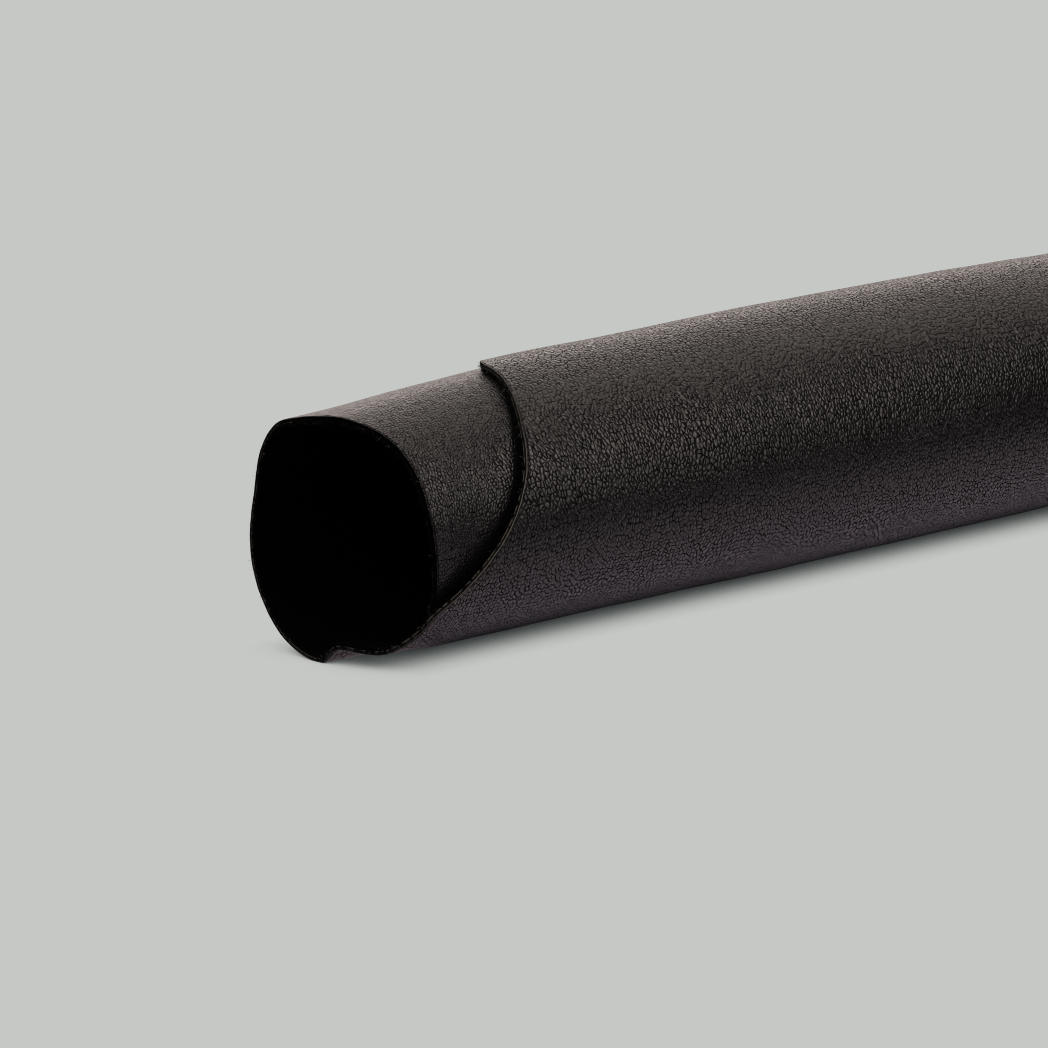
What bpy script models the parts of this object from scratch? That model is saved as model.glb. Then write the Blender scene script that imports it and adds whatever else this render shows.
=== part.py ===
"""A leather hide rolled into a loose tube, lying on a surface.

The hide is one sheet. It winds round the X axis, grain side out, from an inner end that lies
inside the tube to an outer end low on its back. A winding angle says how far round a place on
the sheet is: 0 is the side towards -Y, 90 the top and 270 the bottom, and it goes on past 360
into the outer turn. Lengths in the tables are millimetres and angles are degrees.
"""

from collections import namedtuple

import bpy
import numpy as np

MM = 0.001

# Driving dimensions.
ROLL_LENGTH = 600.0
SHEET_THICKNESS = 2.1
RESTING_RADIUS = 37.7  # from the roll's axis to the grain side, at the bottom
BOTTOM = 270.0  # winding angle where the roll rests
TURN_PITCH = 2.5  # growth of the radius in one turn: the sheet and the air above it
FLAT_DEPTH = 0.5  # how far the resting spot is pressed flat

# The sheet's own ends along the winding.
INNER_END = -100.0
OUTER_END = 590.0
TAIL_START = 555.0
TAIL_LIFT = 1.0  # how far the outer end stands off the turn below it

# The near rim droops over this distance, and the sheet runs true behind it.
DROOP_REACH = 78.0
DROOP_FALL = 1.6

# A short crease at the bottom of the near edge, where the sheet steps up off the surface.
CREASE_START = 268.0
CREASE_TOP = 279.0
CREASE_END = 304.0
CREASE_HEIGHT = 4.4
CREASE_REACH = 16.0

# The near edge. setback: how far back the edge is cut at that winding angle.
Cut = namedtuple("Cut", "angle setback")
NEAR_EDGE = (
    Cut(-100, 52.0),
    Cut(-60, 24.0),
    Cut(-7, 11.4),
    Cut(48, 8.3),
    Cut(78, 5.3),
    Cut(133, 3.4),
    Cut(170, 4.4),
    Cut(204, 2.0),
    Cut(262, -0.8),
    Cut(278, 0.3),
    Cut(300, 5.8),
    Cut(314, 10.3),
    Cut(328, 13.2),
    Cut(338, 19.6),
    Cut(358, 32.0),
    Cut(379, 41.6),
    Cut(406, 49.2),
    Cut(437, 57.8),
    Cut(454, 61.6),
    Cut(475, 73.0),
    Cut(500, 89.0),
    Cut(540, 101.0),
    Cut(590, 112.0),
)

# depth: how far the near rim droops in towards the axis at that winding angle.
Droop = namedtuple("Droop", "angle depth")
RIM_DROOP = (
    Droop(-100, 0.0),
    Droop(-7, 0.0),
    Droop(48, 1.5),
    Droop(78, 4.4),
    Droop(100, 5.4),
    Droop(117, 4.2),
    Droop(133, 1.6),
    Droop(146, 1.3),
    Droop(170, 2.0),
    Droop(204, 0.9),
    Droop(262, 0.0),
    Droop(590, 0.0),
)

# depth: how far the inner turn lies in from the spiral, all along the roll.
Slack = namedtuple("Slack", "angle depth")
INNER_SLACK = (
    Slack(-100, 2.2),
    Slack(-33, 1.4),
    Slack(-7, 2.0),
    Slack(100, 0.0),
    Slack(590, 0.0),
)

# along: distance from the near end. crown: how far the top swells there.
# heel: how far the lower front swells. Both are below zero where the roll is drawn in.
Swell = namedtuple("Swell", "along crown heel")
BODY = (
    Swell(0, 0.0, -0.3),
    Swell(60, -0.6, -0.45),
    Swell(120, -0.45, -0.4),
    Swell(165, 0.3, 0.0),
    Swell(250, 0.2, -0.15),
    Swell(305, -0.7, -0.2),
    Swell(390, 0.3, 0.3),
    Swell(490, -0.5, -0.2),
    Swell(600, 0.2, 0.2),
)
CROWN_ANGLE = 100.0
HEEL_ANGLE = 300.0

# out: how far the far edge strays out past the roll's length at that winding angle.
Stray = namedtuple("Stray", "angle out")
FAR_EDGE = (
    Stray(-100, -7.0),
    Stray(0, -2.5),
    Stray(110, 0.5),
    Stray(230, -1.5),
    Stray(350, 0.0),
    Stray(470, -2.0),
    Stray(590, -5.0),
)

# How finely the sheet is divided: round the winding, round the crease, and along the roll.
WINDING_STEP = 6.0
CREASE_STEP = 2.0
STATIONS = 16
STATION_CROWDING = 2.2  # above 1, stations crowd towards the near edge

LEATHER_COLOUR = (0.022, 0.018, 0.018, 1.0)
LEATHER_ROUGHNESS = 0.5


def smooth_curve(rows, column, at):
    """The column of a table read at the places `at` along its first column.

    Each interval is a cubic that meets both rows. Its slope at a row is the mean slope there,
    held to three times the gentler neighbour, and is level at a crest or a dip.
    """
    places = np.array([row[0] for row in rows], float)
    values = np.array([getattr(row, column) for row in rows], float)
    widths = np.diff(places)
    rises = np.diff(values) / widths
    slopes = np.gradient(values, places)
    before, after = rises[:-1], rises[1:]
    gentlest = 3 * np.minimum(np.abs(before), np.abs(after))
    same_way = before * after > 0
    inner = np.sign(after) * np.minimum(np.abs(slopes[1:-1]), gentlest)
    slopes[1:-1] = np.where(same_way, inner, 0.0)

    at = np.clip(at, places[0], places[-1])
    k = np.clip(np.searchsorted(places, at, side="right") - 1, 0, len(widths) - 1)
    u = (at - places[k]) / widths[k]
    start = (2 * u**3 - 3 * u**2 + 1) * values[k]
    end = (3 * u**2 - 2 * u**3) * values[k + 1]
    lean_out = (u**3 - 2 * u**2 + u) * widths[k] * slopes[k]
    lean_in = (u**3 - u**2) * widths[k] * slopes[k + 1]
    return start + end + lean_out + lean_in


def ease(t):
    """0 below 0, 1 above 1, and a smooth S between."""
    t = np.clip(t, 0.0, 1.0)
    return t * t * (3 - 2 * t)


def crease(angle, behind_edge):
    """Height of the step at the bottom: a quick rise, a slow fall, fading away from the edge."""
    rise = ease((angle - CREASE_START) / (CREASE_TOP - CREASE_START))
    fall = ease((CREASE_END - angle) / (CREASE_END - CREASE_TOP))
    return CREASE_HEIGHT * rise * fall * np.exp(-((behind_edge / CREASE_REACH) ** 2))


def body_swell(angle, along):
    """Unevenness of the body: a soft lobe at the top and another low at the front."""
    crown_lobe = np.maximum(np.cos(np.radians(angle - CROWN_ANGLE)), 0.0) ** 2
    heel_lobe = np.maximum(np.cos(np.radians(angle - HEEL_ANGLE)), 0.0) ** 4
    crown = smooth_curve(BODY, "crown", along) * crown_lobe
    return crown + smooth_curve(BODY, "heel", along) * heel_lobe


def grain_radius(angle, along, behind_edge):
    """Distance from the roll's axis to the grain side: a spiral, less its droop and slack."""
    spiral = RESTING_RADIUS + TURN_PITCH * (angle - BOTTOM) / 360
    fade = np.clip(1 - behind_edge / DROOP_REACH, 0.0, 1.0) ** DROOP_FALL
    droop = smooth_curve(RIM_DROOP, "depth", angle) * fade
    slack = smooth_curve(INNER_SLACK, "depth", angle)
    tail = TAIL_LIFT * ease((angle - TAIL_START) / (OUTER_END - TAIL_START))
    return spiral - droop - slack + tail + body_swell(angle, along) - crease(angle, behind_edge)


def winding_angles():
    """Even steps round the winding, with finer ones where the crease and the resting spot are."""
    even = np.arange(INNER_END, OUTER_END + WINDING_STEP / 2, WINDING_STEP)
    fine = np.arange(CREASE_START - WINDING_STEP, CREASE_END, CREASE_STEP)
    outside = (even < fine[0] - CREASE_STEP) | (even > fine[-1] + CREASE_STEP)
    return np.sort(np.concatenate([even[outside], fine]))


def sheet_points():
    """The grain side as a grid of points, in millimetres: one row for each winding angle."""
    share = np.linspace(0.0, 1.0, STATIONS) ** STATION_CROWDING
    angle, share = np.meshgrid(winding_angles(), share, indexing="ij")
    near = smooth_curve(NEAR_EDGE, "setback", angle)
    far = ROLL_LENGTH + smooth_curve(FAR_EDGE, "out", angle)
    behind_edge = share * (far - near)
    along = near + behind_edge
    radius = grain_radius(angle, along, behind_edge)
    turn = np.radians(angle)
    height = RESTING_RADIUS - FLAT_DEPTH + radius * np.sin(turn)
    return np.stack([along, -radius * np.cos(turn), np.maximum(height, 0.0)], axis=-1)


def centred_on_its_base(points):
    """The points moved so that their box stands on Z = 0, centred on the Z axis."""
    low, high = points.min(axis=(0, 1)), points.max(axis=(0, 1))
    return points - np.array([(low[0] + high[0]) / 2, (low[1] + high[1]) / 2, low[2]])


def grid_faces(rows, columns):
    """Quads of a grid, wound so that their normals point out of the roll."""
    number = np.arange(rows * columns).reshape(rows, columns)
    corners = (number[:-1, :-1], number[:-1, 1:], number[1:, 1:], number[1:, :-1])
    return np.stack([corner.ravel() for corner in corners], axis=-1)


def leather():
    material = bpy.data.materials.new("leather")
    material.use_nodes = True
    surface = material.node_tree.nodes["Principled BSDF"]
    surface.inputs["Base Color"].default_value = LEATHER_COLOUR
    surface.inputs["Roughness"].default_value = LEATHER_ROUGHNESS
    surface.inputs["Metallic"].default_value = 0.0
    return material


def rolled_hide():
    points = centred_on_its_base(sheet_points())
    rows, columns, _ = points.shape
    mesh = bpy.data.meshes.new("hide")
    mesh.from_pydata((points.reshape(-1, 3) * MM).tolist(), [], grid_faces(rows, columns).tolist())
    mesh.materials.append(leather())
    mesh.shade_smooth()
    hide = bpy.data.objects.new("hide", mesh)
    bpy.context.scene.collection.objects.link(hide)
    sheet = hide.modifiers.new("thickness", "SOLIDIFY")
    sheet.thickness = SHEET_THICKNESS * MM
    sheet.offset = -1.0
    sheet.use_even_offset = True
    return hide


def main():
    for old in list(bpy.data.objects):
        bpy.data.objects.remove(old, do_unlink=True)
    rolled_hide()


main()
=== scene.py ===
"""The look of a black leather hide, rolled into a loose tube and lying on a pale floor.

The hide is one sheet, grain side out, wound round the X axis from an inner end that lies inside
the tube to an outer end low on its back. A winding angle says how far round a place on the sheet
is: 0 is the side towards -Y, 90 the top and 270 the bottom, and it goes on past 360 into the
outer turn. Lengths are in millimetres and angles in degrees, unless a comment says metres or
radians, and a piece becomes metres when its mesh is made.
"""

from collections import namedtuple

import bpy
import numpy as np
from mathutils import Matrix, Vector


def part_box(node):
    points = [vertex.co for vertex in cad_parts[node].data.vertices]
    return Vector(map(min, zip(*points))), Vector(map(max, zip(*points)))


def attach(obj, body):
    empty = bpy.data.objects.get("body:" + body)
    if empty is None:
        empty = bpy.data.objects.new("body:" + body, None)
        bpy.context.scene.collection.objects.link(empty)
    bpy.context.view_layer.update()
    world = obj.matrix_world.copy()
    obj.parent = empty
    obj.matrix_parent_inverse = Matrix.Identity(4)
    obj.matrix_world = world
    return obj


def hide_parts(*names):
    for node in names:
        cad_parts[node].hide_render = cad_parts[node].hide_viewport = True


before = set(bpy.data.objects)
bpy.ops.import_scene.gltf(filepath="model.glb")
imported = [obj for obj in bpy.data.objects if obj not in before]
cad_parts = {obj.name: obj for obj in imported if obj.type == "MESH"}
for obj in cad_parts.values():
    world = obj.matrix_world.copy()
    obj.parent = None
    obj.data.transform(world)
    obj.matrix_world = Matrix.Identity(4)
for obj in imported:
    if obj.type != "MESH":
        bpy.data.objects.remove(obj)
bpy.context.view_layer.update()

MM = 0.001

# ---------------------------------------------------------------------------------------------
# Driving dimensions of the roll. They are the solid's, but for the slack over the top, the
# press, the ripples, the edge's waver and the rounded rim.
# ---------------------------------------------------------------------------------------------

ROLL_LENGTH = 600.0
SHEET_THICKNESS = 2.1
RESTING_RADIUS = 37.7  # from the roll's axis to the grain side, at the bottom
BOTTOM = 270.0  # winding angle where the roll rests
TURN_PITCH = 2.5  # growth of the radius in one turn: the sheet and the air above it
FLAT_DEPTH = 0.5  # how far the resting spot is pressed flat

# The sheet's own ends along the winding.
INNER_END = -100.0
OUTER_END = 590.0
TAIL_START = 555.0
TAIL_LIFT = 1.0  # how far the outer end stands off the turn below it

# The near rim droops over this distance, and the sheet runs true behind it.
DROOP_REACH = 78.0
DROOP_FALL = 1.6

# A short crease at the bottom of the near edge, where the sheet steps up off the surface.
CREASE_START = 268.0
CREASE_TOP = 279.0
CREASE_END = 304.0
CREASE_HEIGHT = 4.4
CREASE_REACH = 16.0

# The outer turn's edge is pressed down on the turn below it, over the top of the roll.
PRESS_START = 385.0
PRESS_FULL = (425.0, 490.0)
PRESS_END = 520.0
PRESS_DEPTH = 0.4
PRESS_REACH = 9.0

# Where the body's two swells are.
CROWN_ANGLE = 100.0
HEEL_ANGLE = 300.0

# The near edge. setback: how far back the edge is cut at that winding angle.
Cut = namedtuple("Cut", "angle setback")
NEAR_EDGE = (
    Cut(-100, 52.0),
    Cut(-60, 24.0),
    Cut(-7, 11.4),
    Cut(48, 8.3),
    Cut(78, 5.3),
    Cut(133, 3.4),
    Cut(170, 4.4),
    Cut(204, 2.0),
    Cut(262, -0.8),
    Cut(278, 0.3),
    Cut(300, 5.8),
    Cut(314, 10.3),
    Cut(328, 13.2),
    Cut(338, 19.6),
    Cut(358, 32.0),
    Cut(379, 41.6),
    Cut(406, 49.2),
    Cut(437, 57.8),
    Cut(454, 61.6),
    Cut(475, 73.0),
    Cut(500, 89.0),
    Cut(540, 101.0),
    Cut(590, 112.0),
)

# depth: how far the near rim droops in towards the axis at that winding angle.
Droop = namedtuple("Droop", "angle depth")
RIM_DROOP = (
    Droop(-100, 0.0),
    Droop(-7, 0.0),
    Droop(48, 1.5),
    Droop(78, 4.4),
    Droop(100, 5.4),
    Droop(117, 4.2),
    Droop(133, 1.6),
    Droop(146, 1.3),
    Droop(170, 2.0),
    Droop(204, 0.9),
    Droop(262, 0.0),
    Droop(590, 0.0),
)

# depth: how far the inner turn lies in from the spiral, all along the roll, or out if below zero.
Slack = namedtuple("Slack", "angle depth")
INNER_SLACK = (
    Slack(-100, 2.2),
    Slack(-33, 1.4),
    Slack(-7, 2.0),
    Slack(100, -0.25),
    Slack(200, 0.0),
    Slack(590, 0.0),
)

# along: distance from the near end. crown and heel: how far the top and the lower front swell.
Swell = namedtuple("Swell", "along crown heel")
BODY = (
    Swell(0, 0.0, -0.3),
    Swell(60, -0.6, -0.45),
    Swell(120, -0.45, -0.4),
    Swell(165, 0.3, 0.0),
    Swell(250, 0.2, -0.15),
    Swell(305, -0.7, -0.2),
    Swell(390, 0.3, 0.3),
    Swell(490, -0.5, -0.2),
    Swell(600, 0.2, 0.2),
)

# out: how far the far edge strays out past the roll's length at that winding angle.
Stray = namedtuple("Stray", "angle out")
FAR_EDGE = (
    Stray(-100, -7.0),
    Stray(0, -2.5),
    Stray(110, 0.5),
    Stray(230, -1.5),
    Stray(350, 0.0),
    Stray(470, -2.0),
    Stray(590, -5.0),
)

# The sheet's hollows and rises, as sine waves over it. round and along: the wave's radians for
# a millimetre each way. sway: how far a second sine, with its own radians each way, shifts it.
Ripple = namedtuple("Ripple", "height round along start sway sway_round sway_along")
RIPPLES = (
    Ripple(0.032, 1 / 5.1, 0.0, 0.4, 1.3, 0.0, 1 / 17.0),
    Ripple(0.028, 0.0, 1 / 4.3, 0.0, 1.7, 1 / 13.0, 0.0),
    Ripple(0.030, 0.7 / 7.9, 1 / 7.9, 2.1, 0.0, 0.0, 0.0),
    Ripple(0.026, -0.9 / 6.1, 1 / 6.1, 0.0, 1.1, 0.0, 1 / 23.0),
)

# How the hand-cut near edge strays. waves: how many of them go round in 360 degrees.
Waver = namedtuple("Waver", "depth waves start")
EDGE_WAVERS = (Waver(0.05, 13, 0.5), Waver(0.03, 29, 2.0), Waver(0.02, 61, 0.0))

# The fine sheet's own divisions.
ROW_STEP = 2.3  # degrees between rows round the winding
CREASE_ROW_STEP = 1.1
COLUMNS = 124
COLUMN_START = 0.12  # share of an even step that the first column gets
COLUMN_POWER = 2.2
RIM_ROUNDING = 0.6  # how far behind the cut the sheet reaches its full thickness
RIM_SQUARENESS = 3.2  # 2 is a half round edge, and more is squarer
RIM_STEPS = 6
CUT_HEIGHT = 0.93  # share of the half thickness where the cut's face ends

# The camera of the photograph, in the roll's own frame.
FOCAL_PIXELS = 5931.0
PHOTO_PIXELS = 1048.0
SENSOR_MM = 36.0
CAMERA_HEADING = 47.25  # from +X towards +Y
CAMERA_DIP = 13.36
CAMERA_FROM_TIP = Vector((-1031.0, -1196.3, 414.2))  # from the near end, before it is centred
CAMERA_SEES_TO = 100.0  # metres

# Loose fibres of the cut.
FIBRE_SEED = 7
FIBRE_COUNT = 3000
FIBRE_ACROSS = (-0.9, 0.6)  # where they grow across the cut, from -1 (flesh) to 1 (grain)
FIBRE_TO_FLESH = 1.7  # above 1, more of them grow at the flesh side
FIBRE_SHORTEST = 0.15
FIBRE_LONGEST = 1.5
FIBRE_SHORTNESS = 3  # above 1, more of them are short
FIBRE_LEAN = (0.35, 0.6, 0.6)  # spread of the ways they point, along each axis
FIBRE_DROOP = 0.35  # how far they point in towards the flesh side
FIBRE_OUT = 0.6  # how far they point out of the mouth
FIBRE_BOW = 0.16  # spread of their bulge, as a share of their length
FIBRE_WIDTH = 0.07
FIBRE_WIDTHS = (0.6, 1.3)  # the narrowest and the widest, as shares of that width
FIBRE_TAPER = 0.67  # share of its width that a fibre loses by its tip
FIBRE_RINGS = 4
FIBRE_SIDES = 3
FIBRE_ROOT = 0.1  # how deep a fibre starts in the cut
OFF_AXIS = (0.31, 0.52, 0.79)  # a direction that no fibre follows

# The grain's cells. size: a cell's size round and along the roll. seam: the share of it that
# its groove takes. uneven: how far the cells stray from a grid, from 0 to 1.
Cells = namedtuple("Cells", "size seam uneven")
FINE_CELLS = Cells((1.5, 1.25), 0.36, 0.92)
WIDE_CELLS = Cells((2.4, 2.2), 0.2, 1.0)

# The grain's folds. size: round and along the roll. width: how much of the noise they take.
# turn: how far they lean from the winding, in radians.
Folds = namedtuple("Folds", "size width turn")
RIGHT_FOLDS = Folds((6.0, 1.65), 0.2, 0.2)
LEFT_FOLDS = Folds((5.0, 1.8), 0.2, -0.24)

# How the cells drift. LEAN_PATCH is the size of a patch that leans by up to LEAN_PUSH along the
# roll. A warp is a noise's changes in a millimetre and how far it pushes.
LEAN_PATCH = (26.0, 50.0)
LEAN_PUSH = 6.0
BROAD_WARP = (0.05, 5.0)
CLOSE_WARP = (0.5, 0.8)
FINER_NEAR_INNER_END = (125.0, 220.0, 1.25, 1.0)  # from and to round the sheet, and the fineness

# Where a pattern comes and goes: the noise's changes in a millimetre, and the span of its value
# over which the pattern goes from its first strength to its second.
Patches = namedtuple("Patches", "changes span strengths")
FINE_SEAM_PATCHES = Patches(0.5, (0.35, 0.6), (0.65, 1.0))
WIDE_SEAM_PATCHES = Patches(0.4, (0.35, 0.65), (0.6, 1.0))
RIGHT_FOLD_PATCHES = Patches(0.08, (0.35, 0.65), (0.4, 1.0))
LEFT_FOLD_PATCHES = Patches(0.08, (0.35, 0.65), (1.0, 0.4))
TINT_CHANGES = 0.045
PORE_CHANGES = 3.0
PORE_ROUGHNESS = 0.7

# How far each pattern raises the grain, in millimetres.
PLATE_RISE = 0.12
FINE_SEAM_RISE = -0.05
DOME_RISE = 0.05
WIDE_SEAM_RISE = -0.01
FOLD_RISE = -0.05
PORE_RISE = 0.004

# How the grain changes round the sheet from its inner end. tone: how far the fine seams count as
# hollow, halved, and so take its painted shade; the same for the wide seams and folds; and how
# high the grain stands.
Zone = namedtuple("Zone", "place tone")
GRAIN_ZONES = (
    Zone(0.0, (0.45, 0.55, 0.8)),
    Zone(125.0, (0.45, 0.55, 0.8)),
    Zone(150.0, (0.4, 0.4, 0.7)),
    Zone(236.0, (0.4, 0.45, 0.75)),
    Zone(252.0, (0.6, 0.75, 1.0)),
    Zone(266.0, (0.62, 0.75, 1.0)),
    Zone(276.0, (0.54, 0.62, 1.0)),
    Zone(284.0, (0.46, 0.52, 0.85)),
    Zone(292.0, (0.45, 0.5, 0.85)),
    Zone(299.0, (0.46, 0.55, 0.95)),
    Zone(322.0, (0.46, 0.6, 1.0)),
    Zone(334.0, (0.42, 0.5, 0.9)),
    Zone(345.0, (0.5, 0.5, 1.0)),
    Zone(372.0, (0.6, 0.5, 1.0)),
    Zone(395.0, (0.6, 1.0, 1.8)),
    Zone(425.0, (0.6, 1.4, 2.5)),
)

# The grain's finish, on its plates and in its hollows. The hollows' darker colour and weaker shine
# are painted shade.
GRAIN_BROWN = (0.0072, 0.0078, 0.0078, 1.0)
GRAIN_PLUM = (0.0084, 0.0074, 0.0084, 1.0)
# Painted shade: the darker colour of the grain's hollows.
GRAIN_HOLLOW_SHADE = (0.0003, 0.0006, 0.0006, 1.0)
GRAIN_ROUGHNESS = (0.12, 0.4)
GRAIN_IOR = (1.47, 1.06)
# Painted shade too: past this share a hollow's shine fades.
DEEP_HOLLOW = 0.3  # from here on a hollow loses its shine

# The flesh side's nap, and the finish of the cut and its fibres. The flesh side's near black and
# the cut's black are painted shade, and the cut's grey and pale lines are painted light and
# highlights.
NAP_SIZE = (0.6, 0.3)
NAP_TURN = 0.5  # radians
NAP_HEIGHT = 0.35
# The flesh side's own dark dye, made near black so that the tube's inside reads as shade: partly
# painted shade.
FLESH_DYE_AND_SHADE_DARK = (0.0006, 0.0007, 0.0007, 1.0)
FLESH_DYE_AND_SHADE_PALE = (0.0016, 0.002, 0.002, 1.0)
CUT_SPECKS = 2400.0  # changes of a noise in a metre
CUT_CLUMPS = 800.0
CUT_RELIEF = 0.12
SPECK_RISE = 0.6  # how high the specks stand, against 1 for the clumps
# The cut's grey ground is painted light; towards the flesh side, and where its grey share is 0, it
# is painted black shade.
CUT_LIT_SPAN = (-0.35, 0.15)  # where across the cut its grey starts and is full
# Both pale lines along the cut are painted highlights.
CUT_CORNER_HIGHLIGHT = (0.7, 0.85)  # where the grain side's pale line starts and is full
CUT_MIDDLE = -0.12  # where the middle's pale line is
CUT_MIDDLE_WIDTH = (0.06, 0.2)
GREY_CLUMPS = (0.35, 0.65)  # the clumps' noise from where the ground is dark to where it is grey
LINE_CLUMPS = (0.4, 0.6)  # the same from where the middle's line is broken to where it is whole
PALE_SPECKS = (0.6, 0.7)  # the specks' noise from where there is no fleck to where it is full
FLECK_SHARE = 0.6
# Painted shade: the cut's black where it faces away from the light.
CUT_PAINTED_SHADE = (0.0008, 0.001, 0.001, 1.0)
CUT_DARK = (0.0015, 0.0022, 0.0022, 1.0)
CUT_GREY = (0.010, 0.014, 0.014, 1.0)
# A painted highlight: the colour of the pale lines along the cut.
CUT_HIGHLIGHT = (0.20, 0.18, 0.155, 1.0)
CUT_FLECK = (0.22, 0.22, 0.2, 1.0)
FIBRE_PALE = (0.5, 0.48, 0.42, 1.0)
PALE_FIBRES = (0.9, 1.0)  # a fibre's paleness from where it is dark to where it is palest

# The cut's painted light by winding angle, where it catches the light or lies in shade. grey: how
# far its ground is grey rather than painted black shade. line: how strong its painted highlight
# lines are.
Show = namedtuple("Show", "angle grey line")
CUT_PAINTED_LIGHT = (
    Show(-100, 0.0, 0.0),
    Show(100, 0.0, 0.0),
    Show(140, 0.3, 0.1),
    Show(215, 0.8, 0.25),
    Show(268, 1.0, 0.3),
    Show(300, 0.9, 0.3),
    Show(325, 0.8, 0.5),
    Show(345, 0.8, 1.0),
    Show(385, 0.8, 1.0),
    Show(410, 0.8, 0.35),
    Show(470, 1.0, 0.4),
    Show(590, 0.8, 0.3),
)

# The floor's painted contact shadow: its tone by how open the sky is above it, within the
# contact's reach.
FLOOR_TONE = (0.565, 0.578, 0.558)
CONTACT_REACH = 11.0
CONTACT_SAMPLES = 16
Contact = namedtuple("Contact", "open tone")
CONTACT_SHADOW_STOPS = (
    Contact(0.0, (0.012, 0.015, 0.016)),
    Contact(0.046, (0.043, 0.051, 0.051)),
    Contact(0.10, (0.109, 0.120, 0.118)),
    Contact(0.205, (0.249, 0.259, 0.249)),
    Contact(0.332, (0.372, 0.380, 0.366)),
    Contact(0.495, (0.467, 0.478, 0.461)),
    Contact(0.757, (0.538, 0.547, 0.530)),
    Contact(1.0, FLOOR_TONE),
)

# The floor, the bowl past it and the card, in metres.
FLOOR_HALF = 0.6
SWEEP_RADIUS = 7.0  # where the bowl starts to rise
SWEEP_RISE = np.array([0.5, 0.9, 1.1, 1.2])  # how far past there each ring of the rise is
SWEEP_HEIGHT = np.array([0.1, 0.5, 1.2, 6.0])
SWEEP_RINGS = 9
SWEEP_SIDES = 64
SWEEP_BELOW = 0.0004  # how far the bowl and the card lie below the floor
CARD_BELOW = 0.0002
CARD_HALF = 3.0

# The card that the roll's shine sees in place of the floor: its glow's tone by the distance in
# front of the roll's axis, in metres. The dark first rows, right under the roll, are a painted
# contact shadow.
Card = namedtuple("Card", "front tone")
CARD = (
    Card(0.0, (0.005, 0.005, 0.006)),
    Card(0.006, (0.016, 0.015, 0.016)),
    Card(0.0144, (0.047, 0.041, 0.045)),
    Card(0.0183, (0.205, 0.172, 0.195)),
    Card(0.0244, (0.575, 0.465, 0.525)),
    Card(0.041, (0.60, 0.49, 0.55)),
    Card(0.058, (0.57, 0.465, 0.52)),
    Card(0.085, (0.51, 0.415, 0.465)),
    Card(0.13, (0.27, 0.25, 0.26)),
    Card(0.2, (0.05, 0.05, 0.05)),
    Card(0.6, (0.03, 0.032, 0.032)),
)
CARD_NEAR = (-0.29, -0.26)  # along X: where the near end's own tone starts to fade and is gone
CARD_NEAR_TONE = (0.3, 0.24, 0.27, 1.0)
CARD_BEHIND = (0.0, 0.08)  # along Y: where the tone behind the roll starts and is full
CARD_BEHIND_TONE = (0.55, 0.5, 0.49, 1.0)

# The sky's tone by the angle round the roll's axis: 0 level in front, 90 overhead, 180 behind.
Sky = namedtuple("Sky", "angle tone")
SKY = (
    Sky(0.0, (0.02, 0.02, 0.02)),
    Sky(14.0, (0.04, 0.04, 0.04)),
    Sky(26.0, (0.48, 0.43, 0.40)),
    Sky(38.0, (1.0, 0.87, 0.80)),
    Sky(56.0, (1.1, 0.95, 0.88)),
    Sky(74.0, (0.76, 0.66, 0.61)),
    Sky(92.0, (0.69, 0.60, 0.555)),
    Sky(115.0, (0.84, 0.73, 0.67)),
    Sky(150.0, (1.08, 0.94, 0.88)),
    Sky(180.0, (1.35, 1.18, 1.12)),
)

# How strong the sky is low in front, by the share of its direction that points along the roll:
# two spans of that share, which multiply, each with the strength at its start and end.
SKY_TO_FAR_END = (0.58, 0.70, 3.0, 0.06)
SKY_TO_NEAR_END = (0.36, 0.46, 0.3, 1.0)
SKY_ABOVE = (78.0, 105.0)  # the angles over which it comes to the same strength everywhere
SKY_STRENGTH = 1.1

# A low panel in front of the roll's near half: its middle and its sides, in metres.
PANEL_PLACE = (-0.01, -0.37, 0.16)
PANEL_SIZE = (0.38, 0.30)
PANEL_GLOW = 1.3
PANEL_TINT = (1.0, 0.88, 0.82)

PIXEL_FILTER = 0.95  # width in pixels, narrow enough to keep the fine grain sharp


# ---------------------------------------------------------------------------------------------
# The rolled sheet.
# ---------------------------------------------------------------------------------------------


def smooth_curve(rows, column, at):
    """The column of a table read at the places `at` along its first column.

    Each interval is a cubic that meets both rows. Its slope at a row is the mean slope there,
    held to three times the gentler neighbour, and is level at a crest or a dip.
    """
    places = np.array([row[0] for row in rows], float)
    values = np.array([getattr(row, column) for row in rows], float)
    widths = np.diff(places)
    rises = np.diff(values) / widths
    slopes = np.gradient(values, places)
    before, after = rises[:-1], rises[1:]
    gentlest = 3 * np.minimum(np.abs(before), np.abs(after))
    same_way = before * after > 0
    inner = np.sign(after) * np.minimum(np.abs(slopes[1:-1]), gentlest)
    slopes[1:-1] = np.where(same_way, inner, 0.0)

    at = np.clip(at, places[0], places[-1])
    k = np.clip(np.searchsorted(places, at, side="right") - 1, 0, len(widths) - 1)
    u = (at - places[k]) / widths[k]
    start = (2 * u**3 - 3 * u**2 + 1) * values[k]
    end = (3 * u**2 - 2 * u**3) * values[k + 1]
    lean_out = (u**3 - 2 * u**2 + u) * widths[k] * slopes[k]
    lean_in = (u**3 - u**2) * widths[k] * slopes[k + 1]
    return start + end + lean_out + lean_in


def ease(t):
    """0 below 0, 1 above 1, and a smooth S between."""
    t = np.clip(t, 0.0, 1.0)
    return t * t * (3 - 2 * t)


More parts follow.
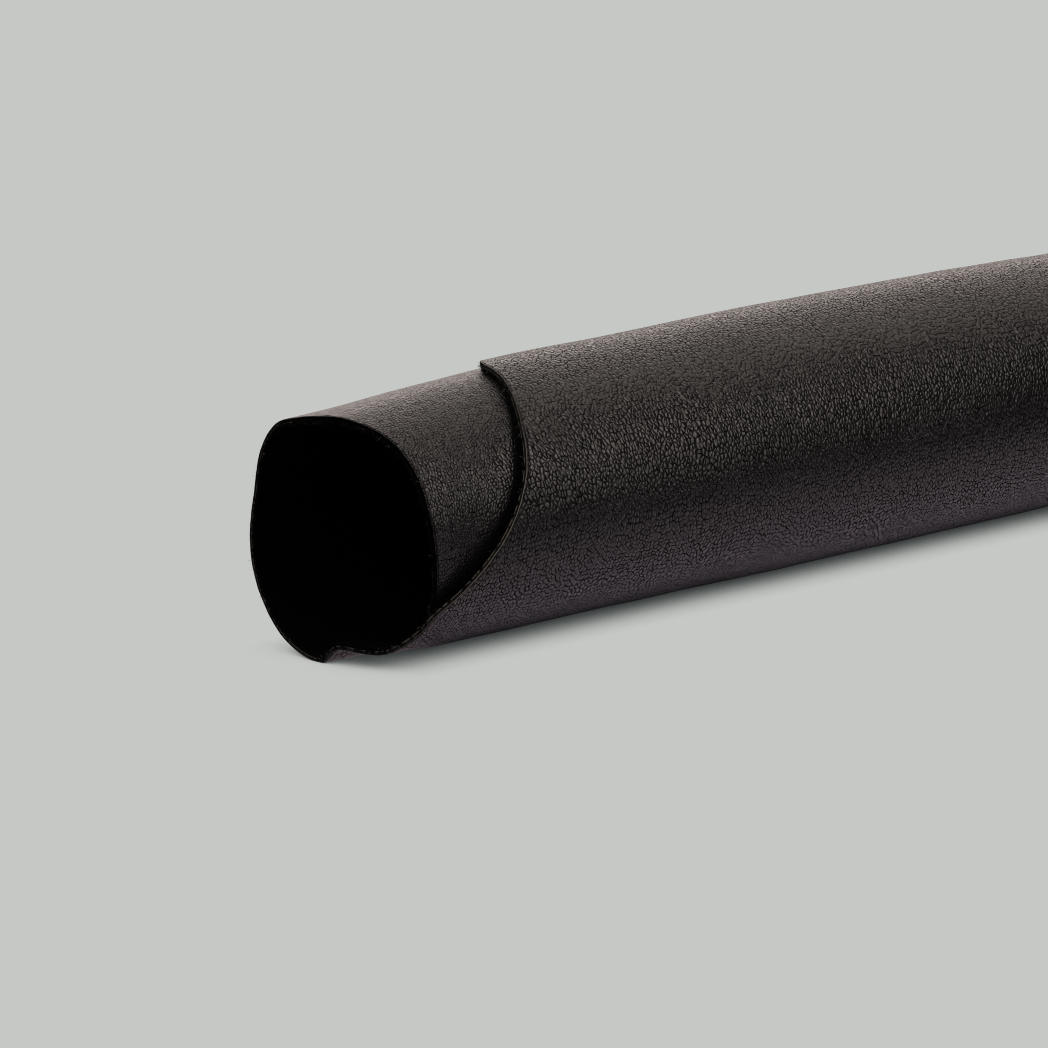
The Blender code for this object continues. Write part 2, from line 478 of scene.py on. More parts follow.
def crease(angle, behind_edge):
    """Height of the step at the bottom: a quick rise, a slow fall, fading away from the edge."""
    rise = ease((angle - CREASE_START) / (CREASE_TOP - CREASE_START))
    fall = ease((CREASE_END - angle) / (CREASE_END - CREASE_TOP))
    return CREASE_HEIGHT * rise * fall * np.exp(-((behind_edge / CREASE_REACH) ** 2))


def body_swell(angle, along):
    """Unevenness of the body: a soft lobe at the top and another low at the front."""
    crown_lobe = np.maximum(np.cos(np.radians(angle - CROWN_ANGLE)), 0.0) ** 2
    heel_lobe = np.maximum(np.cos(np.radians(angle - HEEL_ANGLE)), 0.0) ** 4
    crown = smooth_curve(BODY, "crown", along) * crown_lobe
    return crown + smooth_curve(BODY, "heel", along) * heel_lobe


def press(angle, behind_edge):
    """How far the upper turn's edge is pressed down: a bell behind the edge, over the top."""
    first, last = PRESS_FULL
    start = ease((angle - PRESS_START) / (first - PRESS_START))
    end = ease((PRESS_END - angle) / (PRESS_END - last))
    return PRESS_DEPTH * start * end * np.exp(-((behind_edge / PRESS_REACH) ** 2))


def ripples(angle, along):
    """Small hollows and rises: the sum of sine waves, each swayed by a slower sine of its own."""
    around = RESTING_RADIUS * np.radians(angle)
    total = 0.0
    for wave in RIPPLES:
        sway = wave.sway * np.sin(around * wave.sway_round + along * wave.sway_along)
        phase = around * wave.round + along * wave.along + sway + wave.start
        total = total + wave.height * np.sin(phase)
    return total


def grain_radius(angle, along, behind_edge):
    """Distance from the roll's axis to the grain side: a spiral, less its droop and slack."""
    spiral = RESTING_RADIUS + TURN_PITCH * (angle - BOTTOM) / 360
    fade = np.clip(1 - behind_edge / DROOP_REACH, 0.0, 1.0) ** DROOP_FALL
    droop = smooth_curve(RIM_DROOP, "depth", angle) * fade
    slack = smooth_curve(INNER_SLACK, "depth", angle)
    tail = TAIL_LIFT * ease((angle - TAIL_START) / (OUTER_END - TAIL_START))
    uneven = body_swell(angle, along) + ripples(angle, along)
    pushed_in = crease(angle, behind_edge) + press(angle, behind_edge)
    return spiral - droop - slack + tail + uneven - pushed_in


def edge_waver(angle):
    """How the near edge strays from its line: the sum of sine waves round the winding."""
    turn = np.radians(angle)
    return sum(wave.depth * np.sin(wave.waves * turn + wave.start) for wave in EDGE_WAVERS)


def near_edge(angle):
    """Where the near edge is along the roll: its table's curve and its waver."""
    return smooth_curve(NEAR_EDGE, "setback", angle) + edge_waver(angle)


def far_edge(angle):
    """Where the far edge is along the roll: the roll's length and its table's curve."""
    return ROLL_LENGTH + smooth_curve(FAR_EDGE, "out", angle)


def grain_point(angle, behind_edge):
    """The grain side at a winding angle and a distance behind the near edge."""
    along = near_edge(angle) + behind_edge
    radius = grain_radius(angle, along, behind_edge)
    turn = np.radians(angle)
    height = np.maximum(RESTING_RADIUS - FLAT_DEPTH + radius * np.sin(turn), 0.0)
    return np.stack([along, -radius * np.cos(turn), height], axis=-1)


def outward(angle, behind_edge, step=0.15):
    """Unit normal of the grain side: the cross product of its slopes both ways."""
    bend = np.degrees(step / RESTING_RADIUS)
    round_slope = grain_point(angle + bend, behind_edge) - grain_point(angle - bend, behind_edge)
    long_slope = grain_point(angle, behind_edge + step) - grain_point(angle, behind_edge - step)
    normal = np.cross(long_slope, round_slope)
    return normal / np.linalg.norm(normal, axis=-1, keepdims=True)


def rim_profile():
    """(inset, height) shares of the rounded edge, from the middle of the cut to the full wall.

    A superellipse: both are powers of a quarter turn's cosine and sine, so the cut is nearly
    flat and its corners are round.
    """
    quarter = np.linspace(0.0, np.pi / 2, RIM_STEPS + 1)
    power = 2.0 / RIM_SQUARENESS
    return 1.0 - np.cos(quarter).clip(0) ** power, np.sin(quarter) ** power


def with_rims(inner):
    """Even positions from 0 to 1 with a rim at both ends: (share, inset in mm, height share).

    The inset is added to a share's own place, away from the nearer end.
    """
    inset, height = rim_profile()
    inset = inset * RIM_ROUNDING
    share = np.concatenate([np.zeros(len(inset)), inner[1:-1], np.ones(len(inset))])
    still = np.zeros(len(inner) - 2)
    full = np.ones(len(inner) - 2)
    return (
        share,
        np.concatenate([inset, still, -inset[::-1]]),
        np.concatenate([height, full, height[::-1]]),
    )


def row_angles():
    """Even steps round the winding, finer over the crease, as shares from 0 to 1."""
    even = np.arange(INNER_END, OUTER_END, ROW_STEP)
    fine = np.arange(CREASE_START - ROW_STEP, CREASE_END + ROW_STEP, CREASE_ROW_STEP)
    outside = (even < fine[0] - ROW_STEP / 2) | (even > fine[-1] + ROW_STEP / 2)
    angles = np.sort(np.concatenate([even[outside], fine, [OUTER_END]]))
    return (angles - INNER_END) / (OUTER_END - INNER_END)


def column_shares():
    """Steps along the roll that grow from the near edge: a line plus a power."""
    even = np.linspace(0.0, 1.0, COLUMNS)
    return COLUMN_START * even + (1 - COLUMN_START) * even**COLUMN_POWER


def sheet_grid():
    """The sheet's rows and columns: winding angle, distance behind the near edge, and rim height.

    The rim height is the share of the half thickness that is reached, a product of the rows'
    and the columns' own, so that the sheet's corners close too.
    """
    row, row_inset, row_height = with_rims(row_angles())
    column, column_inset, column_height = with_rims(column_shares())
    angles = INNER_END + row * (OUTER_END - INNER_END)
    angles = angles + np.degrees(row_inset / RESTING_RADIUS)
    angle = np.broadcast_to(angles[:, None], (len(row), len(column)))
    length = far_edge(angle) - near_edge(angle)
    behind_edge = length * column + column_inset
    return angle, behind_edge, row_height[:, None] * column_height


def around_the_winding(angle):
    """Length round the winding from the inner end, in mm, on the spiral without its droop."""
    turn = np.radians(angle - INNER_END)
    start = RESTING_RADIUS + TURN_PITCH * (INNER_END - BOTTOM) / 360
    growth = TURN_PITCH / (2 * np.pi)
    return start * turn + growth * turn**2 / 2


def centre_offset():
    """What moves the roll so that its box stands on Z = 0, centred, as the solid's does."""
    low, high = (np.array(corner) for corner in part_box("hide"))
    angle, behind_edge, _ = sheet_grid()
    points = grain_point(angle, behind_edge) * MM
    middle = (points.min(axis=(0, 1)) + points.max(axis=(0, 1))) / 2
    return np.array([(low[0] + high[0]) / 2 - middle[0], (low[1] + high[1]) / 2 - middle[1], 0.0])


def quads(rows, columns, start=0):
    """Quads of a grid of points, wound so that their normals point out of the roll."""
    number = start + np.arange(rows * columns).reshape(rows, columns)
    corners = (number[:-1, :-1], number[:-1, 1:], number[1:, 1:], number[1:, :-1])
    return np.stack([corner.ravel() for corner in corners], axis=-1)


def mesh_object(name, points, faces):
    """An object at the origin whose mesh holds these points, in metres, and faces."""
    mesh = bpy.data.meshes.new(name)
    mesh.from_pydata(points.tolist(), [], faces.tolist())
    mesh.shade_smooth()
    obj = bpy.data.objects.new(name, mesh)
    bpy.context.scene.collection.objects.link(obj)
    return obj


def point_values(obj, name, values):
    """A number for each point of the mesh, which a material reads by this name."""
    layer = obj.data.attributes.new(name, "FLOAT", "POINT")
    layer.data.foreach_set("value", np.asarray(values, np.float32).ravel())


def unrolled_map(obj, metres):
    """A UV map of the sheet laid flat, in metres, from a (u, v) for each point."""
    corner_point = np.zeros(len(obj.data.loops), np.int32)
    obj.data.loops.foreach_get("vertex_index", corner_point)
    layer = obj.data.uv_layers.new(name="unrolled")
    layer.data.foreach_set("uv", metres[corner_point].astype(np.float32).ravel())


def two_sided(rows, columns):
    """Two grids with one border: the points kept, and the quads over them.

    Points are counted through the first grid and then through the second. The second grid's
    border points are the first's, and its quads are wound the other way.
    """
    number = np.arange(2 * rows * columns).reshape(2, rows, columns)
    border = np.ones((rows, columns), bool)
    border[1:-1, 1:-1] = False
    number[1][border] = number[0][border]
    kept = np.unique(number)
    renumber = np.zeros(number.size, int)
    renumber[kept] = np.arange(len(kept))
    first = quads(rows, columns)
    second = (first + rows * columns)[:, ::-1]
    return kept, renumber[number.ravel()[np.concatenate([first, second])]]


def rolled_hide(offset, materials):
    """The hide: grain side and flesh side as two grids that share the middle of the cut.

    A point is the grain side's point, moved in by half the thickness and back out by the rim
    height, towards the grain for the first grid and towards the flesh for the second. The
    materials are for the grain side, the flesh side and the cut.
    """
    angle, behind_edge, height = sheet_grid()
    kept, faces = two_sided(*angle.shape)

    def kept_values(of_grain, of_flesh):
        """One row for each point of the mesh, from a grid of values for each side."""
        return np.stack([of_grain, of_flesh]).reshape(2 * angle.size, -1)[kept]

    grain = grain_point(angle, behind_edge)
    half = outward(angle, behind_edge) * SHEET_THICKNESS / 2
    rim = height[..., None]
    points = kept_values(grain - half * (1 - rim), grain - half * (1 + rim)) * MM + offset
    points[:, 2] = np.maximum(points[:, 2], 0.0)
    hide = mesh_object("hide_sheet", points, faces)

    across = kept_values(height, -height)[:, 0]
    point_values(hide, "across", across)
    for name in ("grey", "line"):
        # The cut's painted light and highlight strength, by winding angle.
        lit_by_angle = smooth_curve(CUT_PAINTED_LIGHT, name, angle)
        point_values(hide, name, kept_values(lit_by_angle, lit_by_angle))
    flat = np.stack([around_the_winding(angle), near_edge(angle) + behind_edge], axis=-1) * MM
    unrolled_map(hide, kept_values(flat, flat))

    slots = np.repeat([0, 1], len(faces) // 2)
    slots[np.abs(across[faces]).mean(axis=1) < CUT_HEIGHT] = 2
    for material in materials:
        hide.data.materials.append(material)
    hide.data.polygons.foreach_set("material_index", slots.astype(np.int32))
    return hide


# ---------------------------------------------------------------------------------------------
# Loose fibres of the cut.
# ---------------------------------------------------------------------------------------------


def cut_point(angle, across):
    """A place on the near cut and the grain side's normal there.

    The place is at this winding angle, and from -1 (flesh) to 1 (grain) across. It is set back
    from the edge by the rim's superellipse.
    """
    inset = RIM_ROUNDING * (1 - (1 - np.abs(across) ** RIM_SQUARENESS) ** (1 / RIM_SQUARENESS))
    normal = outward(angle, inset)
    depth = SHEET_THICKNESS / 2 * (1 - across[:, None])
    return grain_point(angle, inset) - normal * depth, normal


def strands(roots, tips, bulges, widths):
    """Thin tapered tubes as one set of points and quads.

    Each follows a parabola from its root to its tip with its own bulge to the side. Its section
    is a triangle that shrinks from the root's width towards the tip.
    """
    rings, sides = FIBRE_RINGS, FIBRE_SIDES
    t = np.linspace(0.0, 1.0, rings)[None, :, None]
    line = roots[:, None] * (1 - t) + tips[:, None] * t + bulges[:, None] * 4 * t * (1 - t)
    run = tips - roots
    run = run / np.linalg.norm(run, axis=1, keepdims=True)
    side = np.cross(run, np.array(OFF_AXIS))
    side = side / np.linalg.norm(side, axis=1, keepdims=True)
    other = np.cross(run, side)
    turn = np.arange(sides) * 2 * np.pi / sides
    ring = side[:, None] * np.cos(turn)[:, None] + other[:, None] * np.sin(turn)[:, None]
    radius = widths[:, None, None, None] / 2 * (1 - FIBRE_TAPER * t[..., None])
    points = line[:, :, None] + ring[:, None] * radius

    first = np.arange(len(roots))[:, None, None] * rings * sides
    level = np.arange(rings - 1)[None, :, None] * sides
    here = np.arange(sides)[None, None, :]
    after = (here + 1) % sides
    corners = (here, after, after + sides, here + sides)
    faces = np.stack([(first + level + corner).ravel() for corner in corners], axis=-1)
    return points.reshape(-1, 3), faces


def cut_fibres(offset, material):
    """Short hairs that stand out of the near cut, most of them at its flesh side.

    Each starts a little inside the cut, at random places round and across it, and points out of
    the mouth and towards the flesh with a random lean, length and bulge.
    """
    rng = np.random.default_rng(FIBRE_SEED)
    angle = rng.uniform(INNER_END, OUTER_END - 1, FIBRE_COUNT)
    first, last = FIBRE_ACROSS
    across = first + (last - first) * rng.random(FIBRE_COUNT) ** FIBRE_TO_FLESH
    roots, normal = cut_point(angle, across)
    share = rng.random(FIBRE_COUNT) ** FIBRE_SHORTNESS
    length = FIBRE_SHORTEST + (FIBRE_LONGEST - FIBRE_SHORTEST) * share
    lean = rng.normal(0.0, 1.0, (FIBRE_COUNT, 3)) * np.array(FIBRE_LEAN)
    way = lean - normal * FIBRE_DROOP - np.array([FIBRE_OUT, 0.0, 0.0])
    way = way / np.linalg.norm(way, axis=1, keepdims=True)
    bulges = rng.normal(0.0, FIBRE_BOW, (FIBRE_COUNT, 3)) * length[:, None]
    widths = FIBRE_WIDTH * rng.uniform(*FIBRE_WIDTHS, FIBRE_COUNT)
    tips = roots + way * length[:, None]
    points, faces = strands(roots - way * FIBRE_ROOT, tips, bulges, widths)
    points = points * MM + offset
    points[:, 2] = np.maximum(points[:, 2], 0.0)
    fibres = mesh_object("cut_fibres", points, faces)
    paleness = np.repeat(rng.random(FIBRE_COUNT), FIBRE_RINGS * FIBRE_SIDES)
    point_values(fibres, "paleness", paleness)
    fibres.data.materials.append(material)
    return fibres


# ---------------------------------------------------------------------------------------------
# Materials.
# ---------------------------------------------------------------------------------------------


class Shading:
    """The nodes of a new material or world. Most methods add a node or two and give the output."""

    def __init__(self, owner):
        owner.use_nodes = True
        self.owner = owner
        self.tree = owner.node_tree

    def put(self, socket, value):
        """A number, a colour or another node's output, put into a socket."""
        if isinstance(value, bpy.types.NodeSocket):
            self.tree.links.new(value, socket)
        elif value is not None:
            socket.default_value = value

    def add(self, kind, inputs=(), **settings):
        """A node of this kind with its inputs, by name or number, and its own settings."""
        node = self.tree.nodes.new(kind)
        for name, value in settings.items():
            setattr(node, name, value)
        for name, value in dict(inputs).items():
            self.put(node.inputs[name], value)
        return node

    def math(self, operation, a, b=None, c=None):
        """A sum, a product or another operation on up to three numbers."""
        inputs = {0: a, 1: b, 2: c}
        return self.add("ShaderNodeMath", inputs, operation=operation).outputs[0]

    def on_vectors(self, operation, a, b, c=None):
        """The same on vectors."""
        inputs = {0: a, 1: b, 2: c}
        return self.add("ShaderNodeVectorMath", inputs, operation=operation).outputs[0]

    def reach(self, value, low, high, to_low=0.0, to_high=1.0, kind="SMOOTHSTEP"):
        """The value carried from one range to another, held at both ends."""
        inputs = {
            "Value": value,
            "From Min": low,
            "From Max": high,
            "To Min": to_low,
            "To Max": to_high,
        }
        return self.add("ShaderNodeMapRange", inputs, interpolation_type=kind).outputs[0]

    def between(self, share, a, b):
        """A blend of two numbers."""
        inputs = {0: share, 2: a, 3: b}
        return self.add("ShaderNodeMix", inputs, data_type="FLOAT").outputs[0]

    def tint(self, share, a, b):
        """A blend of two colours."""
        inputs = {0: share, 6: a, 7: b}
        return self.add("ShaderNodeMix", inputs, data_type="RGBA").outputs[2]

    def tone_ramp(self, value, stops):
        """A colour for each value between the first stop's place and the last one's."""
        first, last = stops[0][0], stops[-1][0]
        share = self.reach(value, first, last, kind="LINEAR")
        ramp = self.add("ShaderNodeValToRGB", {"Fac": share})
        marks = ramp.color_ramp.elements
        marks[0].color = (*stops[0].tone, 1.0)
        marks[1].color = (*stops[-1].tone, 1.0)
        for stop in stops[1:-1]:
            marks.new((stop[0] - first) / (last - first)).color = (*stop.tone, 1.0)
        return ramp.outputs[0]

    def attribute(self, name):
        """A number that the mesh holds for each point."""
        return self.add("ShaderNodeAttribute", attribute_name=name).outputs["Fac"]

    def own_place(self):
        """The piece's own coordinates, in metres."""
        return self.add("ShaderNodeTexCoord").outputs["Object"]

    def unrolled(self):
        """The sheet laid flat, in millimetres: X round the winding and Y along the roll."""
        metres = self.add("ShaderNodeUVMap", uv_map="unrolled").outputs[0]
        return self.placed(metres, (MM, MM))

    def apart(self, vector):
        """A vector's three parts."""
        return self.add("ShaderNodeSeparateXYZ", {0: vector}).outputs

    def placed(self, vector, size, turn=0.0):
        """Coordinates turned in the plane and counted in a size each way."""
        inputs = {"Vector": vector, "Scale": (*size, 1.0), "Rotation": (0, 0, turn)}
        return self.add("ShaderNodeMapping", inputs, vector_type="TEXTURE").outputs[0]

    def noise(self, vector, scale, detail=2.0, roughness=0.5, output=0):
        """A cloudy pattern from 0 to 1. Output 1 is one such pattern for each part of a vector."""
        inputs = {"Vector": vector, "Scale": scale, "Detail": detail, "Roughness": roughness}
        return self.add("ShaderNodeTexNoise", inputs).outputs[output]

    def warped(self, vector, scale, amount):
        """Coordinates pushed about by a noise, by up to half the amount each way."""
        push = self.noise(vector, scale, detail=1.0, output=1)
        centred = self.on_vectors("SUBTRACT", push, (0.5, 0.5, 0.5))
        return self.on_vectors("MULTIPLY_ADD", centred, (amount, amount, 0.0), vector)

    def cells(self, vector, feature, uneven):
        """Distance to the nearest edge or to the nearest middle of cells a unit across."""
        inputs = {"Vector": vector, "Scale": 1.0, "Randomness": uneven}
        settings = {"feature": feature, "voronoi_dimensions": "2D"}
        return self.add("ShaderNodeTexVoronoi", inputs, **settings).outputs["Distance"]

    def bump(self, height, distance):
        """A normal that leans with the slopes of a height, which counts in this distance."""
        inputs = {"Height": height, "Distance": distance, "Strength": 1.0}
        return self.add("ShaderNodeBump", inputs).outputs[0]

    def finish(self, **inputs):
        """Puts the values on the surface's own sockets, named in words with underscores."""
        surface = self.tree.nodes["Principled BSDF"]
        for name, value in inputs.items():
            self.put(surface.inputs[name.replace("_", " ")], value)
        return self.owner

    def glow(self, colour):
        """An even glow of this colour, in place of the surface."""
        self.tree.nodes.remove(self.tree.nodes["Principled BSDF"])
        glow = self.add("ShaderNodeEmission", {"Color": colour, "Strength": 1.0})
        self.tree.links.new(glow.outputs[0], self.tree.nodes["Material Output"].inputs["Surface"])
        return self.owner


def new_shading(name):
    """The nodes of a new material."""
    return Shading(bpy.data.materials.new(name))


def drifting(s, flat):
    """The unrolled map as the grain sees it: (with a broad drift, and with a close one as well).

    It is scaled up towards the inner end, so that the cells are smaller there, then leans along
    the roll by a noise, and is pushed about by one more noise for each drift.
    """
    lean = s.noise(s.placed(flat, LEAN_PATCH), 1.0, detail=0.0)
    push = s.add("ShaderNodeCombineXYZ", {1: s.math("MULTIPLY", lean, LEAN_PUSH)}).outputs[0]
    fineness = s.reach(s.apart(flat)["X"], *FINER_NEAR_INNER_END)
    finer = s.add("ShaderNodeVectorMath", {0: flat, "Scale": fineness}, operation="SCALE")
    broad = s.warped(s.on_vectors("ADD", finer.outputs[0], push), *BROAD_WARP)
    return broad, s.warped(broad, *CLOSE_WARP)


def pebbles(s, flat, grain):
    """One size of grain: (how much of a seam, how high a dome), each from 0 to 1.

    The seam falls away from a cell's edge, and the dome is 1 less the square of the distance
    from its middle.
    """
    cell = s.placed(flat, grain.size)
    to_edge = s.cells(cell, "DISTANCE_TO_EDGE", grain.uneven)
    seam = s.reach(to_edge, 0.0, grain.seam, 1.0, 0.0)
    from_middle = s.cells(cell, "F1", grain.uneven)
    return seam, s.math("SUBTRACT", 1.0, s.math("MULTIPLY", from_middle, from_middle))


def folds(s, flat, kind):
    """Lines where a drawn-out noise crosses its middle value: 1 on the line, 0 at its width."""
    wave = s.noise(s.placed(flat, kind.size, kind.turn), 1.0, detail=0.0)
    off_line = s.math("ABSOLUTE", s.math("SUBTRACT", wave, 0.5))
    return s.reach(off_line, 0.0, kind.width, 1.0, 0.0, kind="LINEAR")


def patchy(s, flat, pattern, patches):
    """A pattern that comes and goes: its product with a noise."""
    strength = s.reach(s.noise(flat, patches.changes), *patches.span, *patches.strengths)
    return s.math("MULTIPLY", pattern, strength)


def grain_leather():
    """Black pebble grain: cells of two sizes, folds drawn out round the roll, fine pores.

    The height is the weighted sum of the patterns. A hollow is the deepest of the fine seams,
    the wide seams and the folds' squares. It is rougher than the plates, and its darker colour
    and weaker shine are painted shade.
    """
    s = new_shading("leather_grain")
    flat = s.unrolled()
    broad, close = drifting(s, flat)
    fine_seam, plate = pebbles(s, close, FINE_CELLS)
    wide_seam, dome = pebbles(s, broad, WIDE_CELLS)
    fine_seam = patchy(s, flat, fine_seam, FINE_SEAM_PATCHES)
    wide_seam = patchy(s, flat, wide_seam, WIDE_SEAM_PATCHES)
    right = patchy(s, flat, folds(s, broad, RIGHT_FOLDS), RIGHT_FOLD_PATCHES)
    left = patchy(s, flat, folds(s, close, LEFT_FOLDS), LEFT_FOLD_PATCHES)
    pores = s.noise(flat, PORE_CHANGES, roughness=PORE_ROUGHNESS)

    height = s.math("MULTIPLY", plate, PLATE_RISE)
    patterns = (fine_seam, dome, wide_seam, right, left, pores)
    rises = (FINE_SEAM_RISE, DOME_RISE, WIDE_SEAM_RISE, FOLD_RISE, FOLD_RISE, PORE_RISE)
    for pattern, rise in zip(patterns, rises):
        height = s.math("MULTIPLY_ADD", pattern, rise, height)
    zone = s.apart(s.tone_ramp(s.apart(flat)["X"], GRAIN_ZONES))
    normal = s.bump(s.math("MULTIPLY", height, zone["Z"]), MM)

    fold = s.math("MAXIMUM", right, left)
    shallow = s.math("MAXIMUM", wide_seam, s.math("MULTIPLY", fold, fold))
    deep = s.math("MULTIPLY", s.math("MULTIPLY", fine_seam, 2.0), zone["X"])
    hollow_shade = s.math("MAXIMUM", deep, s.math("MULTIPLY", shallow, zone["Y"]))
    plates = s.tint(s.noise(flat, TINT_CHANGES), GRAIN_BROWN, GRAIN_PLUM)
    return s.finish(
        # A hollow's darker colour and lower IOR are painted shade.
        Base_Color=s.tint(hollow_shade, plates, GRAIN_HOLLOW_SHADE),
        Roughness=s.reach(hollow_shade, 0.0, 1.0, *GRAIN_ROUGHNESS),
        IOR=s.reach(hollow_shade, DEEP_HOLLOW, 1.0, *GRAIN_IOR),
        Normal=normal,
    )


def flesh_suede():
    """The flesh side: a fuzzy nap with no shine, its dark dye made near black as painted shade."""
    s = new_shading("flesh_suede")
    nap = s.noise(s.placed(s.unrolled(), NAP_SIZE, NAP_TURN), 1.0, detail=5.0, roughness=0.7)
    colour = s.tint(nap, FLESH_DYE_AND_SHADE_DARK, FLESH_DYE_AND_SHADE_PALE)
    normal = s.bump(nap, NAP_HEIGHT * MM)
    return s.finish(Base_Color=colour, Roughness=1.0, Specular_IOR_Level=0.02, Normal=normal)


def cut_leather():
    """The cut: packed fibres seen end on, with pale flecks, and pale lines along it that are
    painted highlights.

    How grey it is, a painted light against painted black shade, and how strong the highlights are
    come from the piece's own attributes. One highlight follows the grain's corner and a broken one
    runs along the middle.
    """
    s = new_shading("cut_edge")
    place = s.own_place()
    across = s.attribute("across")
    speck = s.noise(place, CUT_SPECKS, roughness=0.6)
    clump = s.noise(place, CUT_CLUMPS)
    # Painted light: the grey ground where the cut catches the light, black painted shade
    # elsewhere.
    lit_share = s.math("MULTIPLY", s.reach(across, *CUT_LIT_SPAN), s.attribute("grey"))
    body = s.tint(s.reach(clump, *GREY_CLUMPS), CUT_DARK, CUT_GREY)
    colour = s.tint(lit_share, CUT_PAINTED_SHADE, body)

    # The pale flecks show only where the painted light is.
    fleck_share = s.math("MULTIPLY", lit_share, FLECK_SHARE)
    flecks = s.math("MULTIPLY", s.reach(speck, *PALE_SPECKS), fleck_share)
    colour = s.tint(flecks, colour, CUT_FLECK)
    # Painted highlights: a pale line at the grain's corner and a broken one along the middle.
    corner = s.reach(across, *CUT_CORNER_HIGHLIGHT)
    from_middle = s.math("ABSOLUTE", s.math("SUBTRACT", across, CUT_MIDDLE))
    middle = s.reach(from_middle, *CUT_MIDDLE_WIDTH, 1.0, 0.0)
    broken = s.math("MULTIPLY", middle, s.reach(clump, *LINE_CLUMPS))
    highlights = s.math("MULTIPLY", s.math("MAXIMUM", corner, broken), s.attribute("line"))
    colour = s.tint(highlights, colour, CUT_HIGHLIGHT)
    height = s.math("ADD", s.math("MULTIPLY", speck, SPECK_RISE), clump)
    normal = s.bump(height, CUT_RELIEF * MM)
    return s.finish(Base_Color=colour, Roughness=0.8, Specular_IOR_Level=0.0, Normal=normal)


def loose_fibre():
    """Dyed hairs: nine in ten of them dark, and the others paler up to the palest grey."""
    s = new_shading("loose_fibre")
    paleness = s.reach(s.attribute("paleness"), *PALE_FIBRES)
    colour = s.tint(paleness, CUT_DARK, FIBRE_PALE)
    return s.finish(Base_Color=colour, Roughness=0.7, Specular_IOR_Level=0.3)


# ---------------------------------------------------------------------------------------------
# Camera, floor and light.
# ---------------------------------------------------------------------------------------------


def camera_at_the_photo(offset):
    """A long lens above the floor, turned from the roll's axis by its heading."""
    heading, dip = np.radians(CAMERA_HEADING), np.radians(CAMERA_DIP)
    ahead = Vector((np.cos(heading) * np.cos(dip), np.sin(heading) * np.cos(dip), -np.sin(dip)))
    right = Vector((np.sin(heading), -np.cos(heading), 0.0))
    up = right.cross(ahead)
    data = bpy.data.cameras.new("camera")
    data.sensor_width = SENSOR_MM
    data.lens = FOCAL_PIXELS / PHOTO_PIXELS * SENSOR_MM
    data.clip_end = CAMERA_SEES_TO
    camera = bpy.data.objects.new("camera", data)
    turned = Matrix((right, up, -ahead)).transposed().to_4x4()
    turned.translation = CAMERA_FROM_TIP * MM + Vector(offset)
    camera.matrix_world = turned
    bpy.context.scene.collection.objects.link(camera)
    bpy.context.scene.camera = camera


def level_square(name, half_side, height, material):
    """A level square about the Z axis, with its four corners half a side out each way."""
    signs = np.array([(-1, -1, 0), (1, -1, 0), (1, 1, 0), (-1, 1, 0)])
    corners = signs * half_side + np.array([0.0, 0.0, height])
    square = mesh_object(name, corners, np.array([(0, 1, 2, 3)]))
    square.data.materials.append(material)
    return square


def pale_floor():
    """A pale floor that glows evenly, with a painted contact shadow where the roll nearly touches
    it.
    """
    s = new_shading("pale_floor")
    inputs = {"Distance": CONTACT_REACH * MM}
    # Painted contact shadow: the glow darkens where the floor is closed in.
    occlusion = s.add("ShaderNodeAmbientOcclusion", inputs, samples=CONTACT_SAMPLES)
    tone = s.tone_ramp(occlusion.outputs["AO"], CONTACT_SHADOW_STOPS)
    return level_square("floor", FLOOR_HALF, 0.0, s.glow(tone))


def pale_sweep():
    """A wide bowl of the floor's tone, past the floor: rings about the Z axis that rise."""
    flat = np.linspace(0.0, SWEEP_RADIUS, SWEEP_RINGS)
    ring = np.concatenate([flat, SWEEP_RADIUS + SWEEP_RISE])
    height = np.concatenate([np.zeros(SWEEP_RINGS), SWEEP_HEIGHT]) - SWEEP_BELOW
    turn = np.linspace(0.0, 2 * np.pi, SWEEP_SIDES + 1)
    radius, angle = np.meshgrid(ring, turn, indexing="ij")
    rise = np.broadcast_to(height[:, None], radius.shape)
    points = np.stack([radius * np.cos(angle), radius * np.sin(angle), rise], axis=-1)
    sweep = mesh_object("sweep", points.reshape(-1, 3), quads(*radius.shape))
    sweep.data.materials.append(new_shading("pale_sweep").glow((*FLOOR_TONE, 1.0)))
    return sweep


def dull_card():
    """The card: a painted contact shadow under the roll, pale in front and dark far in front, with
    its own tones behind and near.
    """
    s = new_shading("dull_card")
    x, y, _ = s.apart(s.own_place())
    in_front = s.tone_ramp(s.math("MULTIPLY", y, -1.0), CARD)
    tone = s.tint(s.reach(y, *CARD_BEHIND), in_front, CARD_BEHIND_TONE)
    tone = s.tint(s.reach(x, *CARD_NEAR, 1.0, 0.0), tone, CARD_NEAR_TONE)
    return level_square("card", CARD_HALF, -CARD_BELOW, s.glow(tone))


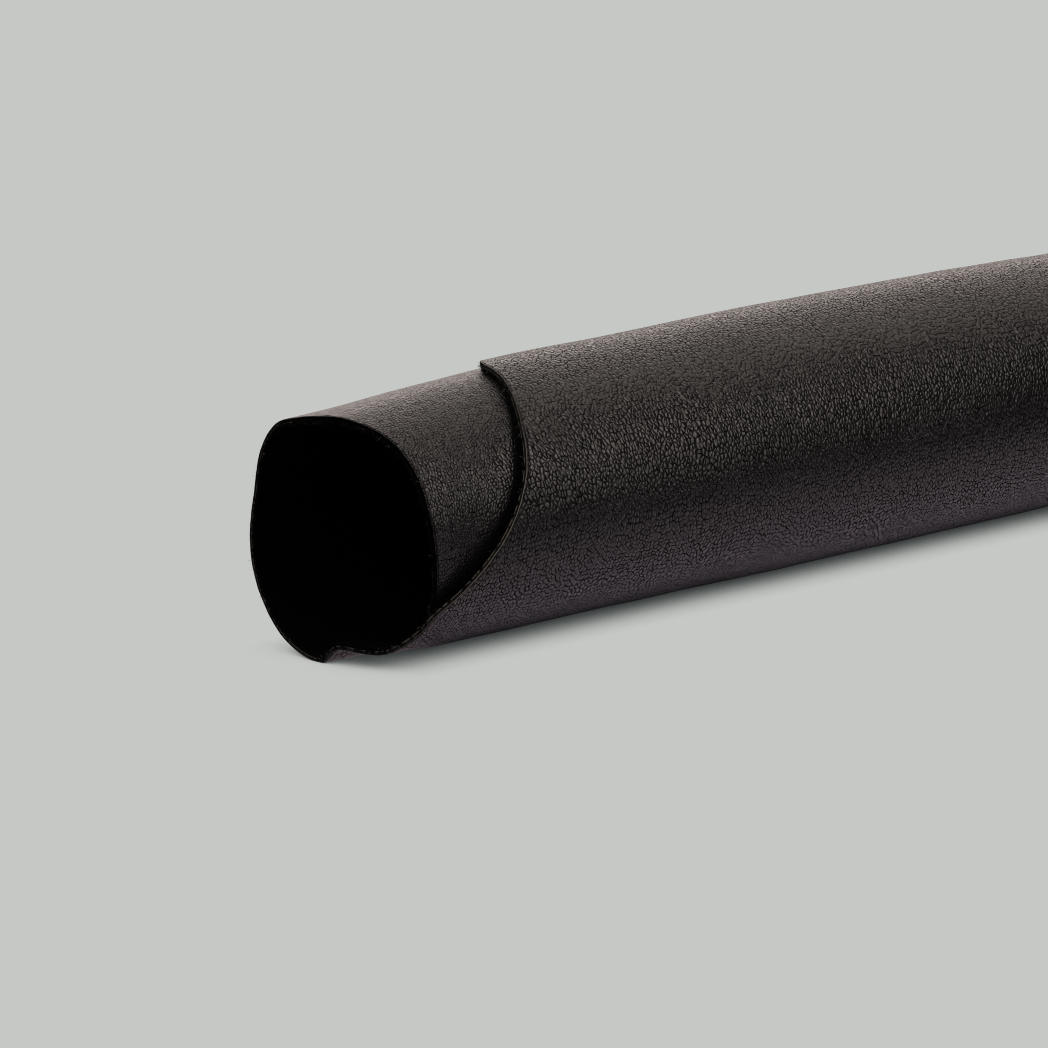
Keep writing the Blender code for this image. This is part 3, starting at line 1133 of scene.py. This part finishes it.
def floor_and_sweep():
    """The floor and the bowl that the camera sees, and the card that the roll's shine sees."""
    floor, sweep, card = pale_floor(), pale_sweep(), dull_card()
    card.visible_camera = False
    card.visible_shadow = False
    for piece in (floor, sweep):
        piece.visible_glossy = False
        piece.visible_diffuse = False
        piece.visible_shadow = False


def studio_light():
    """The room as the roll's shine sees it: bright behind and above, dark low in front.

    The sky's tone depends on the angle round the roll's axis, from 0 level in front through 90
    overhead to 180 level behind. Low in front its strength changes along the axis too.
    """
    world = bpy.data.worlds.new("studio")
    bpy.context.scene.world = world
    s = Shading(world)
    x, y, z = s.apart(s.add("ShaderNodeTexCoord").outputs["Generated"])
    angle = s.math("DEGREES", s.math("ARCTAN2", z, s.math("MULTIPLY", y, -1.0)))
    along = s.math("MULTIPLY", s.reach(x, *SKY_TO_FAR_END), s.reach(x, *SKY_TO_NEAR_END))
    background = s.tree.nodes["Background"]
    s.put(background.inputs["Color"], s.tone_ramp(angle, SKY))
    strength = s.between(s.reach(angle, *SKY_ABOVE), along, SKY_STRENGTH)
    s.put(background.inputs["Strength"], strength)


def front_panel():
    """A soft panel low in front, beside the camera's view, that brightens the roll's near half."""
    data = bpy.data.lights.new("front_panel", "AREA")
    data.shape = "RECTANGLE"
    data.size, data.size_y = PANEL_SIZE
    data.color = PANEL_TINT
    data.energy = PANEL_GLOW * np.pi * data.size * data.size_y
    panel = bpy.data.objects.new("front_panel", data)
    place = Vector(PANEL_PLACE)
    back = Vector((0.0, place.y, place.z)).normalized()
    across = Vector((1.0, 0.0, 0.0))
    turned = Matrix((across, back.cross(across), back)).transposed().to_4x4()
    turned.translation = place
    panel.matrix_world = turned
    panel.visible_camera = False
    bpy.context.scene.collection.objects.link(panel)


def build():
    """The hide and its fibres on the root body, with the imported part hidden, and the scene round
    them.
    """
    offset = centre_offset()
    materials = (grain_leather(), flesh_suede(), cut_leather())
    hide = rolled_hide(offset, materials)
    fibres = cut_fibres(offset, loose_fibre())
    for piece in (hide, fibres):
        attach(piece, "root")
    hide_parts("hide")
    camera_at_the_photo(offset)
    floor_and_sweep()
    studio_light()
    front_panel()
    bpy.context.scene.view_settings.view_transform = "Standard"
    bpy.context.scene.cycles.filter_width = PIXEL_FILTER


build()
